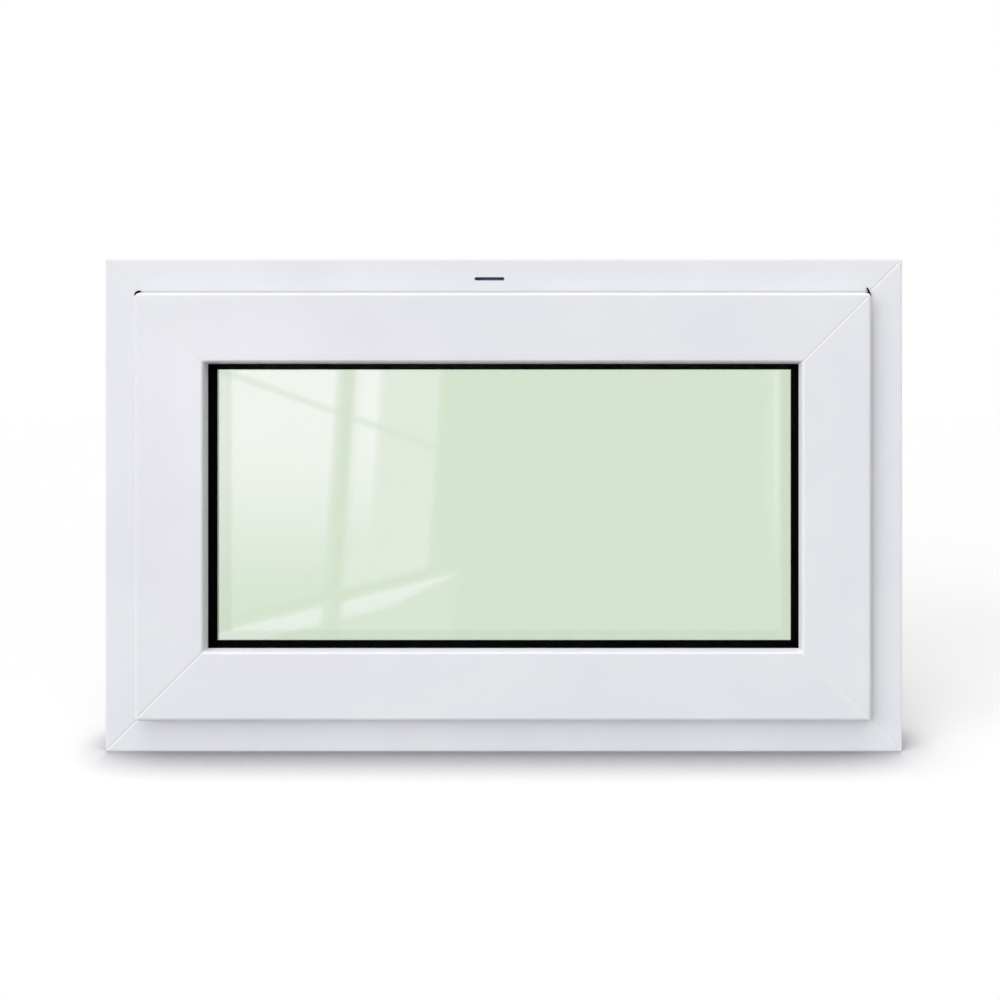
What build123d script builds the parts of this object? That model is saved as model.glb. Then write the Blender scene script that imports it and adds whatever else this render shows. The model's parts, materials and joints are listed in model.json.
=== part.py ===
from build123d import *
import os

# A top-hung window of welded plastic sections, shown closed: an outer frame, a sash that opens outwards,
# double glazing held by beads from the room side, friction stays, a lock and a handle.
# X runs along the window, Y runs from outdoors to the room, and Z is up. The origin is on the frame's
# underside, at mid width and mid depth.
# A rail's section is drawn as (inset, depth). Inset is the distance from the window's outer edge towards
# the glass, and depth is Y.

# Overall size
WIDTH = 890.0
HEIGHT = 550.0

# Outer frame
FRAME_DEPTH = 70.0
FRAME_FRONT = -FRAME_DEPTH / 2
FRAME_BACK = FRAME_DEPTH / 2
FRAME_FLOOR = 47.0
FRAME_TOP = 67.0
UPSTAND_HOLLOW_TOP = 56.5
FRAME_CORNER = 2.5
FRAME_BEVEL_WIDTH = 1.6
FRAME_BEVEL_DEPTH = 0.5
FRAME_BEVEL_ROUND = 5.0
SIDE_LAND = 6.0
MIDDLE_LAND = 8.0
RECESS_DEPTH = 3.5
RECESS_UNDERCUT = 1.5
FRAME_WEBS = (-24.0, -14.5, 20.0)

# Sash. Its flange stands off the frame, and its room face off the frame's upstand, by a weather seal's
# thickness
SEAL_GAP = 3.5
SASH_DEPTH = 70.0
SASH_PROUD = 15.0
SASH_FRONT = FRAME_FRONT - SASH_PROUD
SASH_BACK = SASH_FRONT + SASH_DEPTH
UPSTAND_FRONT = SASH_BACK + SEAL_GAP
FLANGE_BACK = FRAME_FRONT - SEAL_GAP
SASH_TIP = 38.5
SASH_EDGE = 61.0
SASH_CORNER = 9.5
SASH_ROUND = 5.0
GLASS_FLOOR = 97.0
LEG_TIP = 117.3
LEG_DEPTH = 16.5
LEG_BACK = SASH_FRONT + LEG_DEPTH
REVEAL_DEPTH = 9.0
REVEAL_SLOPE = 2.0
REVEAL_ROUND = 3.5
SASH_WEBS = (-33.0, -26.0, 8.0)
HARDWARE_FRONT = -12.0
HARDWARE_BACK = 4.0
HARDWARE_DEPTH = 3.0

# Walls of the sections, and the rounding of their edges
WALL = 2.8
WEB = 1.5
SOFT_EDGE = 1.2

# Steel stiffeners in the largest chambers: a closed tube in the frame, a channel in the sash
STEEL_WALL = 1.5
FRAME_STEEL = (7.5, 43.0, -12.5, 18.0)
SASH_STEEL = (68.0, 90.0, -24.0, 6.0)
STEEL_SHORT_OF_CORNER = 12.0

# Weld lines, trimmed to a shallow channel along each mitre. The frame's start just inside its corners
WELD_WIDTH = 3.4
WELD_DEPTH = 0.5
WELD_START = 1.6

# Slot in the head that lets the outer chamber breathe
VENT_LENGTH = 33.3
VENT_HEIGHT = 3.8
VENT_X = -16.0
VENT_INSET = 22.0

# Double glazing
PANE = 4.0
CAVITY = 16.0
GLASS_FRONT = -30.0
CAVITY_FRONT = GLASS_FRONT + PANE
CAVITY_BACK = CAVITY_FRONT + CAVITY
GLASS_BACK = CAVITY_BACK + PANE
GLASS_EDGE = 102.0
SPACER_LOW = 106.5
SPACER_HIGH = 113.5
SPACER_WALL = 0.8
BLOCK_LENGTH = 100.0
BLOCK_OFFSET = 178.0

# Gaskets of the glass
GASKET_SIGHT = 123.2
GASKET_NOSE = 1.0
GASKET_LIP = 1.2
GASKET_BED = 5.5
INNER_GASKET_LOW = 105.0
INNER_GASKET_SIGHT = 114.0
INNER_GASKET_DRAFT = 0.8
INNER_GASKET_LIP = 0.6

# Glazing beads. The room side runs from the gasket back to the sash's room face
BEAD_FRONT = -3.0
BEAD_TOP = 112.5
BEAD_NOSE = (BEAD_TOP, 3.0)
BEAD_SHOULDER = (109.5, 7.5)
BEAD_HEEL = (102.0, 16.5)
BEAD_TOE = (100.0, SASH_BACK)
BEAD_ROUND = 2.0
BEAD_SHOULDER_ROUND = 3.0
BEAD_WALL = 1.6
FOOT_FRONT = 11.0
FOOT_BACK = 14.0
FOOT_HEIGHT = 3.0

# Weather seals
SEAL_STEM = 3.2
SEAL_GROOVE = 5.0
OUTER_STEM_INSET = 43.2
OUTER_SEAL_LOW = 37.15
OUTER_SEAL_HIGH = 46.0
OUTER_SEAL_CORNER = 0.5
INNER_STEM_INSET = 63.2
INNER_SEAL_LOW = 60.4
INNER_SEAL_HIGH = 66.2
SEAL_ROUND = 1.5

# Handle, on the room side of the bottom rail
HANDLE_INSET = 82.0
ROSE_LENGTH = 68.0
ROSE_WIDTH = 26.0
ROSE_THICKNESS = 10.0
ROSE_CORNER = 7.0
ROSE_EDGE = 1.5
COLLAR_RADIUS = 11.5
COLLAR_HEIGHT = 2.0
NECK_RADIUS = 8.5
KNUCKLE_OUTSIDE = 12.0
KNUCKLE_INSIDE = 9.0
LEVER_LENGTH = 118.0
LEVER_RISE = 31.0
GRIP_THICKNESS = 10.5
GRIP_RADIUS = 10.0
GRIP_START = 24.0
GRIP_FALL = 2.5
TIP_THICKNESS = 9.0
TIP_RADIUS = 8.0
LEVER_EDGE = 2.0
# The lever's side view is this much wider than its round neck, and its edges above this height are rounded
NECK_CLEAR = 0.3
ROUND_FROM = 21.0

# Friction stays, one in each side gap. Heights are measured from the jamb's floor towards the sash, and
# places along a stay from its middle, downwards if negative
GAP = SASH_EDGE - FRAME_FLOOR
STAY_LENGTH = 300.0
STAY_BELOW_TOP = 168.0
STAY_MIDDLE = HEIGHT - FRAME_TOP - STAY_BELOW_TOP
STAY_DEPTH = -12.0
TRACK_WIDTH = 18.0
TRACK_HEIGHT = 4.6
TRACK_WALL = 1.3
TRACK_LIP = 3.0
SLIDER_LENGTH = 28.0
SLIDER_TONGUE = 22.0
SLIDER_PLACE = 120.0
ARM_WIDTH = 14.0
ARM_THICKNESS = 2.4
LONG_ARM_LENGTH = 150.0
SHORT_ARM_LENGTH = 104.0
SHORT_ARM_END = -130.0
BAR_LENGTH = 280.0
BAR_WIDTH = 16.0
BAR_THICKNESS = 2.6
RIVET_RADIUS = 3.5

# Locking gear along the bottom
LOCK_LENGTH = 480.0
KEEP_OFFSET = 200.0
KEEP_LENGTH = 44.0
KEEP_WIDTH = 20.0
KEEP_HEIGHT = 9.0
KEEP_FLOOR = 3.0
KEEP_POCKET = (30.0, 10.0)
STUD_RADIUS = 4.0
STUD_HEIGHT = 7.0

# Each side starts at a corner of the window: its plane's X is the inset, its Y the depth, and its Z runs
# along the rail. The numbers are the length along the side and the length across to the opposite side.
SIDES = {
    "bottom": (Plane((WIDTH / 2, 0, 0), x_dir=(0, 0, 1), z_dir=(-1, 0, 0)), WIDTH, HEIGHT),
    "top": (Plane((-WIDTH / 2, 0, HEIGHT), x_dir=(0, 0, -1), z_dir=(1, 0, 0)), WIDTH, HEIGHT),
    "left": (Plane((-WIDTH / 2, 0, 0), x_dir=(1, 0, 0), z_dir=(0, 0, 1)), HEIGHT, WIDTH),
    "right": (Plane((WIDTH / 2, 0, HEIGHT), x_dir=(-1, 0, 0), z_dir=(0, 0, -1)), HEIGHT, WIDTH),
}
FRAME_NAMES = {
    "bottom": "frame_sill", "top": "frame_head", "left": "frame_left_jamb", "right": "frame_right_jamb",
}
SASH_NAMES = {
    "bottom": "sash_bottom_rail", "top": "sash_top_rail",
    "left": "sash_left_stile", "right": "sash_right_stile",
}
# How far a mitre's cutting wedge reaches in from the outer edge, past the deepest section
MITRE_REACH = 140.0


# Drawing the sections

def face(*points):
    """A flat face inside straight lines through (inset, depth) points."""
    return make_face(Polyline(*points, close=True))


def block(low_inset, high_inset, low_depth, high_depth, rounding=0.0):
    """A rectangle in a section, with rounded corners if rounding is given."""
    width = high_inset - low_inset
    height = high_depth - low_depth
    middle = Pos((low_inset + high_inset) / 2, (low_depth + high_depth) / 2)
    if rounding:
        return middle * RectangleRounded(width, height, rounding)
    return middle * Rectangle(width, height)


def groove(middle, width, low_depth, high_depth):
    """A square-edged slot in a section, centred on an inset."""
    return block(middle - width / 2, middle + width / 2, low_depth, high_depth)


def chambers(low_inset, high_inset, front, webs, back):
    """Hollows side by side from front to back, with a web centred on each depth in webs."""
    starts = [front] + [web + WEB / 2 for web in webs]
    ends = [web - WEB / 2 for web in webs] + [back]
    return [block(low_inset, high_inset, start, end) for start, end in zip(starts, ends)]


def cut_all(section, hollows):
    """The section less every hollow."""
    for hollow in hollows:
        section -= hollow
    return section


def rounded(section, corners):
    """Rounds the section's corners: each (inset, depth) gets its own radius."""
    for (inset, depth), radius in corners.items():
        spot = section.vertices().sort_by_distance((inset, depth, 0))[0]
        section = fillet(spot, radius)
    return section


def frame_section():
    """The outer frame's section: lands and dovetailed recesses on its back, hollow chambers, and an
    upstand on the room side with a groove for the inner weather seal."""
    section = face(
        (0, FRAME_FRONT + FRAME_BEVEL_DEPTH), (FRAME_BEVEL_WIDTH, FRAME_FRONT), (FRAME_FLOOR, FRAME_FRONT),
        (FRAME_FLOOR, UPSTAND_FRONT), (FRAME_TOP, UPSTAND_FRONT), (FRAME_TOP, FRAME_BACK), (0, FRAME_BACK),
    )
    section = rounded(section, {
        (FRAME_BEVEL_WIDTH, FRAME_FRONT): FRAME_BEVEL_ROUND, (FRAME_FLOOR, FRAME_FRONT): SOFT_EDGE,
        (FRAME_TOP, UPSTAND_FRONT): SOFT_EDGE, (FRAME_TOP, FRAME_BACK): SOFT_EDGE,
    })
    for way in (-1, 1):
        near = way * MIDDLE_LAND / 2
        far = way * (FRAME_DEPTH / 2 - SIDE_LAND)
        section -= face(
            (0, near), (0, far), (RECESS_DEPTH, far + way * RECESS_UNDERCUT),
            (RECESS_DEPTH, near - way * RECESS_UNDERCUT),
        )
    base = chambers(
        RECESS_DEPTH + WALL, FRAME_FLOOR - WALL, FRAME_FRONT + WALL, FRAME_WEBS, FRAME_BACK - WALL
    )
    upstand = block(
        FRAME_FLOOR - WALL + WEB, UPSTAND_HOLLOW_TOP, UPSTAND_FRONT + WALL, FRAME_BACK - WALL
    )
    seal = groove(INNER_STEM_INSET, SEAL_STEM, UPSTAND_FRONT, UPSTAND_FRONT + SEAL_GROOVE)
    return cut_all(section, base + [upstand, seal])


def sash_section():
    """The sash's section: a round-edged flange that laps the frame outdoors, a hollow body, a leg in front
    of the glass, a hardware groove facing the frame and a groove for the bead's foot."""
    reveal_inset = LEG_TIP - REVEAL_SLOPE
    section = face(
        (SASH_TIP, SASH_FRONT), (reveal_inset, SASH_FRONT), (LEG_TIP, SASH_FRONT + REVEAL_DEPTH),
        (LEG_TIP, LEG_BACK), (GLASS_FLOOR, LEG_BACK), (GLASS_FLOOR, SASH_BACK), (SASH_EDGE, SASH_BACK),
        (SASH_EDGE, FLANGE_BACK), (SASH_TIP, FLANGE_BACK),
    )
    section = rounded(section, {
        (SASH_TIP, SASH_FRONT): SASH_ROUND, (reveal_inset, SASH_FRONT): REVEAL_ROUND,
        (SASH_EDGE, SASH_BACK): SOFT_EDGE,
    })
    body = chambers(
        SASH_EDGE + HARDWARE_DEPTH + WALL, GLASS_FLOOR - FOOT_HEIGHT - WALL,
        SASH_FRONT + WALL, SASH_WEBS, SASH_BACK - WALL,
    )
    flange = block(
        OUTER_SEAL_HIGH + WEB, SASH_EDGE + HARDWARE_DEPTH + WALL - WEB, SASH_FRONT + WALL, FLANGE_BACK - WALL
    )
    leg = block(
        GLASS_FLOOR - FOOT_HEIGHT - WALL + WEB, reveal_inset - WALL, SASH_FRONT + WALL, LEG_BACK - WALL
    )
    hardware = block(SASH_EDGE, SASH_EDGE + HARDWARE_DEPTH, HARDWARE_FRONT, HARDWARE_BACK)
    foot = block(GLASS_FLOOR - FOOT_HEIGHT, GLASS_FLOOR, FOOT_FRONT, FOOT_BACK)
    seal = groove(OUTER_STEM_INSET, SEAL_STEM, FLANGE_BACK - SEAL_GROOVE, FLANGE_BACK)
    return cut_all(section, body + [flange, leg, hardware, foot, seal])


def bead_section():
    """A glazing bead: flat against the gasket, stepped and rounded to the room, with a hollow and a foot
    that snaps into the sash."""
    bead = face(
        (GLASS_FLOOR, BEAD_FRONT), (BEAD_TOP, BEAD_FRONT), BEAD_NOSE, BEAD_SHOULDER, BEAD_HEEL, BEAD_TOE,
        (GLASS_FLOOR, SASH_BACK),
    )
    bead = rounded(bead, {
        BEAD_NOSE: BEAD_ROUND, BEAD_SHOULDER: BEAD_SHOULDER_ROUND, BEAD_HEEL: BEAD_ROUND, BEAD_TOE: SOFT_EDGE,
    })
    bead += block(GLASS_FLOOR - FOOT_HEIGHT, GLASS_FLOOR, FOOT_FRONT, FOOT_BACK)
    low = GLASS_FLOOR + BEAD_WALL
    high = BEAD_TOP - BEAD_WALL
    front = BEAD_FRONT + BEAD_WALL
    back = BEAD_HEEL[1] - BEAD_WALL
    return bead - face(
        (low, front), (high, front), (high, BEAD_NOSE[1]), (BEAD_HEEL[0] - BEAD_WALL, back), (low, back)
    )


def outer_gasket_section():
    """The black gasket on the weather side: it fills the step behind the leg and slopes to the glass."""
    nose_depth = SASH_FRONT + REVEAL_DEPTH
    bed = LEG_TIP - GASKET_BED
    return face(
        (LEG_TIP, nose_depth), (LEG_TIP + GASKET_NOSE, nose_depth), (GASKET_SIGHT, GLASS_FRONT - GASKET_LIP),
        (GASKET_SIGHT, GLASS_FRONT), (bed, GLASS_FRONT), (bed, LEG_BACK), (LEG_TIP, LEG_BACK),
    )


def inner_gasket_section():
    """The gasket between the inner pane and a bead, with a lip that shows past the bead."""
    return face(
        (INNER_GASKET_LOW, GLASS_BACK), (INNER_GASKET_SIGHT, GLASS_BACK),
        (INNER_GASKET_SIGHT - INNER_GASKET_DRAFT, BEAD_FRONT - INNER_GASKET_LIP),
        (BEAD_TOP - INNER_GASKET_DRAFT, BEAD_FRONT), (INNER_GASKET_LOW, BEAD_FRONT),
    )


def outer_seal_section():
    """The seal under the sash's flange: a stem in its groove and a lip that reaches past the flange."""
    stem = groove(OUTER_STEM_INSET, SEAL_STEM, FLANGE_BACK - SEAL_GROOVE, FLANGE_BACK)
    return stem + block(OUTER_SEAL_LOW, OUTER_SEAL_HIGH, FLANGE_BACK, FRAME_FRONT, SEAL_ROUND)


def inner_seal_section():
    """The seal on the frame's upstand, pressed by the sash's room face."""
    stem = groove(INNER_STEM_INSET, SEAL_STEM, UPSTAND_FRONT, UPSTAND_FRONT + SEAL_GROOVE)
    return stem + block(INNER_SEAL_LOW, INNER_SEAL_HIGH, SASH_BACK, UPSTAND_FRONT, SEAL_ROUND)


# Making rails and rings from the sections

def weld_channels(length, start, end, surface, bottom):
    """The shallow V-shaped channels along both mitres of a rail, between two insets, from a surface down to
    the channel's bottom."""
    across = Plane(origin=(start, surface, start), x_dir=(1, 0, -1), z_dir=(1, 0, 1))
    section = Polygon((-WELD_WIDTH / 2, 0), (WELD_WIDTH / 2, 0), (0, bottom - surface), align=None)
    near = extrude(across * section, amount=(end - start) * 2**0.5, dir=(1, 0, 1))
    return near + mirror(near, Plane.XY.offset(length / 2))


def rail(section, side, outline=None, welds=()):
    """One side of a welded rectangle: the section run along it and cut at 45 degrees at both ends.

    An outline of (inset, radius) rounds the rectangle's outside corners. Each weld is
    (start inset, end inset, the surface's depth, the channel bottom's depth)."""
    plane, length, across = SIDES[side]
    blank = Polygon(
        (0, 0), (0, length), (MITRE_REACH, length - MITRE_REACH), (MITRE_REACH, MITRE_REACH), align=None
    )
    bar = extrude(section, amount=length) & extrude(Plane.XZ * blank, amount=FRAME_DEPTH, both=True)
    if outline:
        inset, radius = outline
        edge = Pos(across / 2, length / 2) * RectangleRounded(across - 2 * inset, length - 2 * inset, radius)
        bar &= extrude(Plane.XZ * edge, amount=FRAME_DEPTH, both=True)
    for weld in welds:
        bar -= weld_channels(length, *weld)
    return plane.location * bar


def ring(section, outline=None):
    """A closed loop of one section round all four sides."""
    loop = rail(section, "bottom", outline)
    for side in ("right", "top", "left"):
        loop += rail(section, side, outline)
    return loop


def sheet(inset, front, back):
    """A flat sheet whose edge stands at an inset all round."""
    plate = Box(WIDTH - 2 * inset, back - front, HEIGHT - 2 * inset)
    return Pos(0, (front + back) / 2, HEIGHT / 2) * plate


def steel_bar(side, bounds, open_front):
    """A square-cut steel stiffener inside a rail, as a tube or as a channel that is open to the front.

    Bounds are its low inset, high inset, front depth and back depth."""
    plane, length, _ = SIDES[side]
    low, high, front, back = bounds
    hollow_front = front if open_front else front + STEEL_WALL
    section = block(low, high, front, back)
    section -= block(low + STEEL_WALL, high - STEEL_WALL, hollow_front, back - STEEL_WALL)
    start = high + STEEL_SHORT_OF_CORNER
    return plane.location * Pos(0, 0, start) * extrude(section, amount=length - 2 * start)


def vent_slot():
    """The milled slot through the head's outer wall."""
    slot = Plane.XZ.offset(-FRAME_FRONT) * SlotOverall(VENT_LENGTH, VENT_HEIGHT)
    return Pos(VENT_X, 0, HEIGHT - VENT_INSET) * extrude(slot, amount=WALL + WEB, both=True)


# Handle

def on_room_face(depth):
    """The place of the handle's spindle at a depth, with its Z pointing into the room."""
    return Plane((0, depth, HANDLE_INSET), x_dir=(-1, 0, 0), z_dir=(0, 1, 0)).location


def handle_rose():
    """The rose: a plate with bevelled edges and a round collar for the neck."""
    plate = extrude(RectangleRounded(ROSE_LENGTH, ROSE_WIDTH, ROSE_CORNER), amount=ROSE_THICKNESS)
    plate = chamfer(plate.faces().sort_by(Axis.Z)[-1].edges(), ROSE_EDGE)
    collar = extrude(Circle(COLLAR_RADIUS), amount=ROSE_THICKNESS + COLLAR_HEIGHT)
    return on_room_face(SASH_BACK) * (plate + collar)


def handle_lever():
    """The lever, where its side view and its front view meet: a round neck that bends into a tapered grip."""
    reach = NECK_RADIUS + NECK_CLEAR
    outer_knuckle = (-reach, LEVER_RISE)
    inner_knuckle = (reach, LEVER_RISE - GRIP_THICKNESS)
    tip_top = (LEVER_LENGTH, LEVER_RISE - GRIP_FALL)
    tip_under = (LEVER_LENGTH, LEVER_RISE - GRIP_FALL - TIP_THICKNESS)
    side_view = rounded(
        face((-reach, 0), outer_knuckle, tip_top, tip_under, inner_knuckle, (reach, 0)),
        {outer_knuckle: KNUCKLE_OUTSIDE, inner_knuckle: KNUCKLE_INSIDE},
    )
    rounds = (
        Circle(NECK_RADIUS), Pos(GRIP_START) * Circle(GRIP_RADIUS),
        Pos(LEVER_LENGTH - TIP_RADIUS) * Circle(TIP_RADIUS),
    )
    front_view = make_hull([edge for circle in rounds for edge in circle.edges()])
    lever = extrude(Plane.XZ * side_view, amount=GRIP_RADIUS, both=True)
    lever &= extrude(front_view, amount=LEVER_RISE)
    lever = fillet([edge for edge in lever.edges() if edge.center().Z > ROUND_FROM], LEVER_EDGE)
    return on_room_face(SASH_BACK + ROSE_THICKNESS + COLLAR_HEIGHT) * lever


# Friction stays

def in_side_gap(side, height, along=0.0):
    """A place on the stay's centre line, height above the jamb's floor and along it from its middle. Its X
    points up and its Z towards the glass."""
    way = 1 if side == "left" else -1
    corner = (-way * (WIDTH / 2 - FRAME_FLOOR - height), STAY_DEPTH, STAY_MIDDLE + along)
    return Plane(corner, x_dir=(0, 0, 1), z_dir=(way, 0, 0)).location


def stay_track(side):
    """The folded channel on the jamb, with lips that keep the slider in."""
    half = TRACK_WIDTH / 2
    outside = Pos(0, TRACK_HEIGHT / 2) * Rectangle(TRACK_WIDTH, TRACK_HEIGHT)
    inside = Pos(0, TRACK_HEIGHT / 2) * Rectangle(TRACK_WIDTH - 2 * TRACK_WALL, TRACK_HEIGHT - 2 * TRACK_WALL)
    mouth = Pos(0, TRACK_HEIGHT) * Rectangle(2 * (half - TRACK_LIP), 2 * TRACK_WALL)
    section = Plane.YZ * (outside - inside - mouth)
    return in_side_gap(side, 0) * extrude(section, amount=STAY_LENGTH / 2, both=True)


def stay_slider(side):
    """The shoe that slides in the track and carries the long arm's pivot."""
    shoe_height = TRACK_HEIGHT - 2 * TRACK_WALL
    shoe = extrude(Rectangle(SLIDER_LENGTH, TRACK_WIDTH - 2 * TRACK_WALL), amount=shoe_height)
    tongue_width = TRACK_WIDTH - 2 * TRACK_LIP
    tongue = extrude(Rectangle(SLIDER_TONGUE, tongue_width), amount=TRACK_HEIGHT - TRACK_WALL)
    return in_side_gap(side, TRACK_WALL, SLIDER_PLACE) * (shoe + tongue)


def stay_arm(side, length, end, height, rivets):
    """A flat arm with round ends, whose lower end lies at a place along the stay.

    Each rivet is (place along the stay, low height, high height)."""
    arm = Pos(end + length / 2, 0, height) * extrude(SlotOverall(length, ARM_WIDTH), amount=ARM_THICKNESS)
    for place, low, high in rivets:
        arm += Pos(place, 0, low) * extrude(Circle(RIVET_RADIUS), amount=high - low)
    return in_side_gap(side, 0) * arm


def stay_bar(side):
    """The flat bar that is screwed to the sash stile and carries the sash."""
    bar = extrude(SlotOverall(BAR_LENGTH, BAR_WIDTH), amount=BAR_THICKNESS)
    return in_side_gap(side, GAP - BAR_THICKNESS) * bar


def stay(side):
    """Every piece of one friction stay, folded shut, by name."""
    pivot = ARM_WIDTH / 2
    bar_low = GAP - BAR_THICKNESS
    short_height = TRACK_HEIGHT + ARM_THICKNESS
    short_top = SHORT_ARM_END + SHORT_ARM_LENGTH
    short_rivets = (
        (SHORT_ARM_END + pivot, TRACK_WALL, short_height), (short_top - pivot, short_height, bar_low),
    )
    long_end = SLIDER_PLACE + pivot - LONG_ARM_LENGTH
    long_rivets = (
        (SLIDER_PLACE, TRACK_HEIGHT, bar_low), (long_end + pivot, TRACK_HEIGHT, bar_low),
    )
    return {
        f"stay_track_{side}": stay_track(side),
        f"stay_slider_{side}": stay_slider(side),
        f"stay_long_arm_{side}": stay_arm(side, LONG_ARM_LENGTH, long_end, TRACK_HEIGHT, long_rivets),
        f"stay_short_arm_{side}": stay_arm(side, SHORT_ARM_LENGTH, SHORT_ARM_END, short_height, short_rivets),
        f"stay_bar_{side}": stay_bar(side),
    }


# Locking gear

def lock_rail():
    """The sliding rail in the groove under the bottom rail, with a stud for each keep."""
    middle = (HARDWARE_FRONT + HARDWARE_BACK) / 2
    bar = Box(LOCK_LENGTH, HARDWARE_BACK - HARDWARE_FRONT, HARDWARE_DEPTH)
    gear = Pos(0, middle, SASH_EDGE + HARDWARE_DEPTH / 2) * bar
    for x in (-KEEP_OFFSET, KEEP_OFFSET):
        stud = extrude(Circle(STUD_RADIUS), amount=STUD_HEIGHT)
        gear += Pos(x, middle, SASH_EDGE - STUD_HEIGHT) * stud
    return gear


def keep(x):
    """A keep on the sill: a block with a pocket that is open above for the stud."""
    middle = (HARDWARE_FRONT + HARDWARE_BACK) / 2
    body = extrude(Rectangle(KEEP_LENGTH, KEEP_WIDTH), amount=KEEP_HEIGHT)
    pocket = Pos(0, 0, KEEP_FLOOR) * extrude(Rectangle(*KEEP_POCKET), amount=KEEP_HEIGHT)
    return Pos(x, middle, FRAME_FLOOR) * (body - pocket)


def setting_block(x):
    """A block on the sash's floor that the glass stands on."""
    body = Box(BLOCK_LENGTH, GLASS_BACK - GLASS_FRONT, GLASS_EDGE - GLASS_FLOOR)
    return Pos(x, (GLASS_FRONT + GLASS_BACK) / 2, (GLASS_EDGE + GLASS_FLOOR) / 2) * body


def glass_spacer():
    """The hollow metal spacer that holds the panes apart."""
    tube = block(SPACER_LOW, SPACER_HIGH, CAVITY_FRONT, CAVITY_BACK)
    low = SPACER_LOW + SPACER_WALL
    high = SPACER_HIGH - SPACER_WALL
    return ring(tube - block(low, high, CAVITY_FRONT + SPACER_WALL, CAVITY_BACK - SPACER_WALL))


def window():
    """Every piece of the window, by name."""
    frame_welds = (
        (WELD_START, FRAME_FLOOR, FRAME_FRONT, FRAME_FRONT + WELD_DEPTH),
        (WELD_START, FRAME_TOP, FRAME_BACK, FRAME_BACK - WELD_DEPTH),
    )
    sash_welds = (
        (SASH_TIP, LEG_TIP - REVEAL_SLOPE, SASH_FRONT, SASH_FRONT + WELD_DEPTH),
        (SASH_EDGE, GLASS_FLOOR, SASH_BACK, SASH_BACK - WELD_DEPTH),
    )
    pieces = {}
    for side in SIDES:
        pieces[FRAME_NAMES[side]] = rail(frame_section(), side, (0, FRAME_CORNER), frame_welds)
        pieces[SASH_NAMES[side]] = rail(sash_section(), side, (SASH_TIP, SASH_CORNER), sash_welds)
        pieces[f"glazing_bead_{side}"] = rail(bead_section(), side)
        pieces[f"inner_glass_gasket_{side}"] = rail(inner_gasket_section(), side)
        pieces[f"frame_stiffener_{side}"] = steel_bar(side, FRAME_STEEL, open_front=False)
        pieces[f"sash_stiffener_{side}"] = steel_bar(side, SASH_STEEL, open_front=True)
    pieces["frame_head"] -= vent_slot()
    pieces["outer_glass_gasket"] = ring(outer_gasket_section())
    pieces["outer_weather_seal"] = ring(outer_seal_section(), (OUTER_SEAL_LOW, OUTER_SEAL_CORNER))
    pieces["inner_weather_seal"] = ring(inner_seal_section())
    pieces["outer_pane"] = sheet(GLASS_EDGE, GLASS_FRONT, CAVITY_FRONT)
    pieces["inner_pane"] = sheet(GLASS_EDGE, CAVITY_BACK, GLASS_BACK)
    pieces["edge_sealant"] = ring(block(GLASS_EDGE, SPACER_LOW, CAVITY_FRONT, CAVITY_BACK))
    pieces["glass_spacer"] = glass_spacer()
    for side, way in (("left", -1), ("right", 1)):
        pieces[f"setting_block_{side}"] = setting_block(way * BLOCK_OFFSET)
        pieces[f"keep_{side}"] = keep(way * KEEP_OFFSET)
        pieces.update(stay(side))
    pieces["lock_rail"] = lock_rail()
    pieces["handle_rose"] = handle_rose()
    pieces["handle_lever"] = handle_lever()
    return pieces


os.makedirs("parts", exist_ok=True)
for name, piece in window().items():
    export_step(piece, f"parts/{name}.step")
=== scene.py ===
import json
import logging
import math
from dataclasses import dataclass, field, replace
from enum import Enum
from typing import Any, Mapping, Sequence

import bmesh
import bpy
from mathutils import Matrix, Vector

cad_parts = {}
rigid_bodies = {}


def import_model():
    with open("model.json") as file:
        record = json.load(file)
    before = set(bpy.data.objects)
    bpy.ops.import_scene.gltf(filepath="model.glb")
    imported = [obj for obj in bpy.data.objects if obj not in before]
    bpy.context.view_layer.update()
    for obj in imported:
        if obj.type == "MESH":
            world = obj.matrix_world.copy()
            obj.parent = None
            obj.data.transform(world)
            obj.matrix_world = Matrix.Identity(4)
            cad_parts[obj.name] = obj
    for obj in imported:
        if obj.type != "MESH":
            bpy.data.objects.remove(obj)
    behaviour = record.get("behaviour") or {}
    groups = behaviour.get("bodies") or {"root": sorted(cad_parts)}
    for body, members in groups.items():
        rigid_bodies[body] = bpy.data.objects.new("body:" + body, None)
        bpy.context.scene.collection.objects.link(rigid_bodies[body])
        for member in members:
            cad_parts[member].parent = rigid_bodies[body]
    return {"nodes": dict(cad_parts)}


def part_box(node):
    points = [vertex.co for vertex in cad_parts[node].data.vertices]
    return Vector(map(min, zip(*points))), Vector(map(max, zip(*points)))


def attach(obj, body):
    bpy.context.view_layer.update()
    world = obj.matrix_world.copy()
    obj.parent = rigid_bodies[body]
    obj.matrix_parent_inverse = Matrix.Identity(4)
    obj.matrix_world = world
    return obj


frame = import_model()

# A top-hung window in white plastic, closed, standing on a pale floor. X runs along the window, Y from
# outdoors to the room, and Z is up. Sizes are in metres.

log = logging.getLogger("window")

Colour = tuple[float, float, float]
Span = tuple[float, float]
Box = tuple[Vector, Vector]
Spot = tuple[Vector, Vector]
Settings = Mapping[str, Any]
Inputs = Mapping[str | int, Any]

BODY = "root"
SIDES = ("bottom", "top", "left", "right")
QUARTER_TURN = math.pi / 2
WHITE = (1.0, 1.0, 1.0)


def linear(red: int, green: int, blue: int) -> Colour:
    """Turns a display colour into the linear light that a shader takes.

    Args:
        red: The display's red, from 0 to 255.
        green: The display's green.
        blue: The display's blue.

    Returns:
        The same colour in linear light.
    """
    low_end, slope, offset, power = 0.04045, 12.92, 0.055, 2.4

    def one(value: int) -> float:
        """One channel in linear light."""
        share = value / 255
        return share / slope if share <= low_end else ((share + offset) / (1 + offset)) ** power

    return one(red), one(green), one(blue)


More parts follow.
